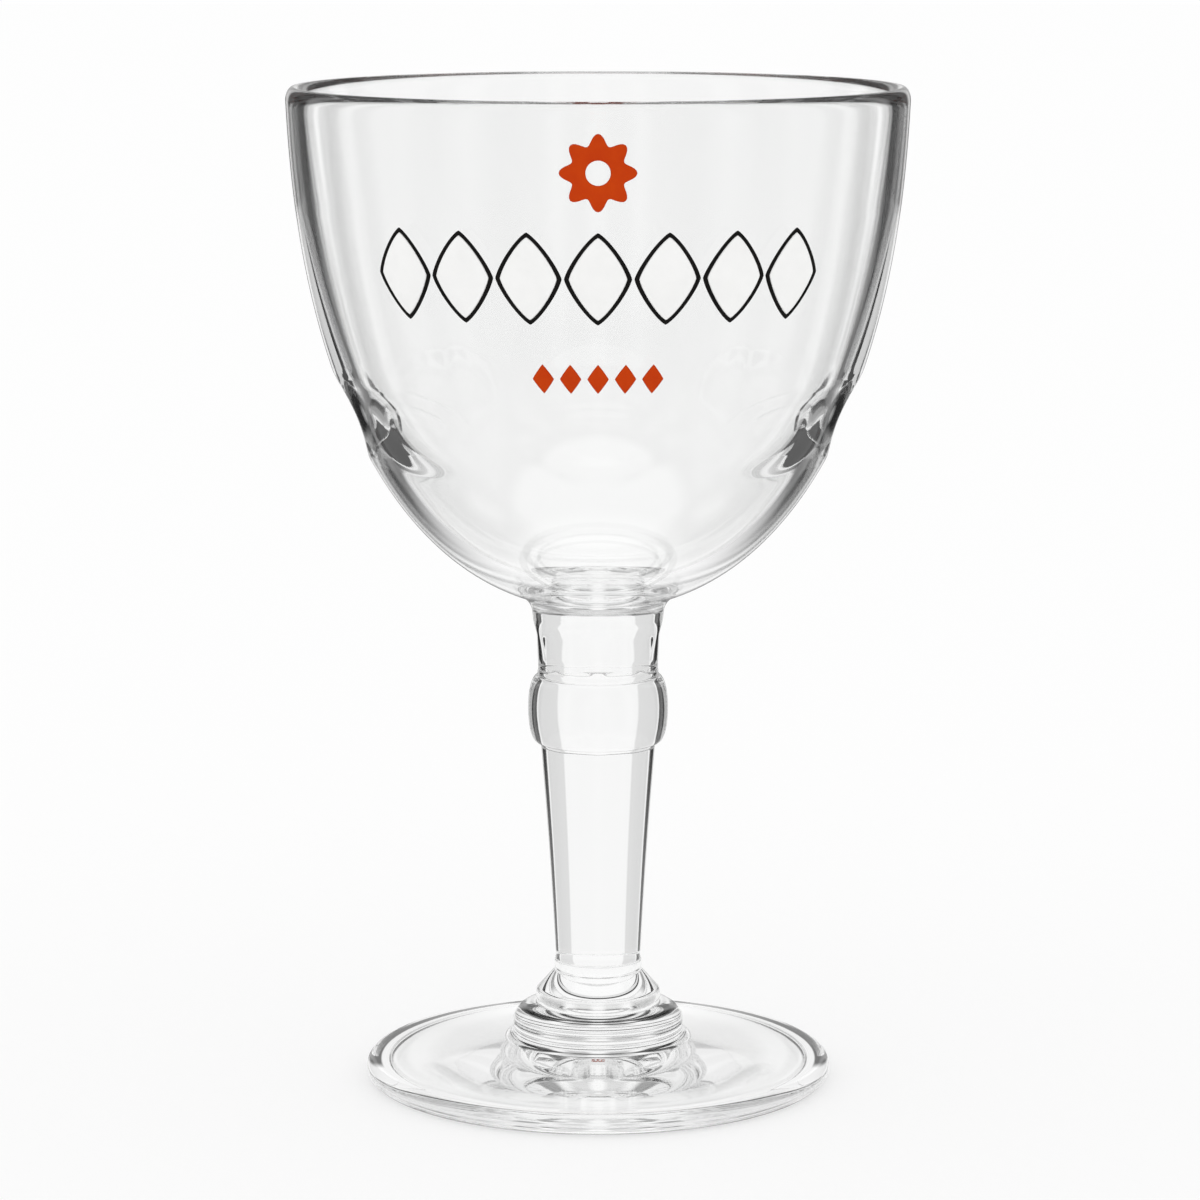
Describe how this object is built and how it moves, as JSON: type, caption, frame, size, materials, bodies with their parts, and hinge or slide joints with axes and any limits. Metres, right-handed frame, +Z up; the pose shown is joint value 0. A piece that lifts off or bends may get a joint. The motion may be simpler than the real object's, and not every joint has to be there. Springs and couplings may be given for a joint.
{
  "type": "chalice beer glass",
  "caption": "Stemmed beer glass with a deep round bowl, a faceted stem with a round knop, a turned collar and a wide disc foot.",
  "frame": {"origin": "centre of the ring under the foot that rests on the table", "axes": "+Z up the axis of the glass towards the rim; -Y is the front, where the enamel is; +X is to the right of someone who faces the front"},
  "size_m": [0.1085, 0.1085, 0.177],
  "materials": {
    "clear_glass": "clear, fire polished",
    "orange_enamel": "fired enamel, half gloss",
    "white_enamel": "fired enamel, half gloss",
    "black_enamel": "fired enamel, half gloss"
  },
  "bodies": {
    "root": {"bowl": "clear_glass", "upper_stem": "clear_glass", "knop": "clear_glass", "lower_stem": "clear_glass", "collar": "clear_glass", "foot": "clear_glass", "emblem_print": "orange_enamel", "band_fill_print": "white_enamel", "band_outline_print": "black_enamel", "diamond_print": "orange_enamel"}
  },
  "joints": []
}
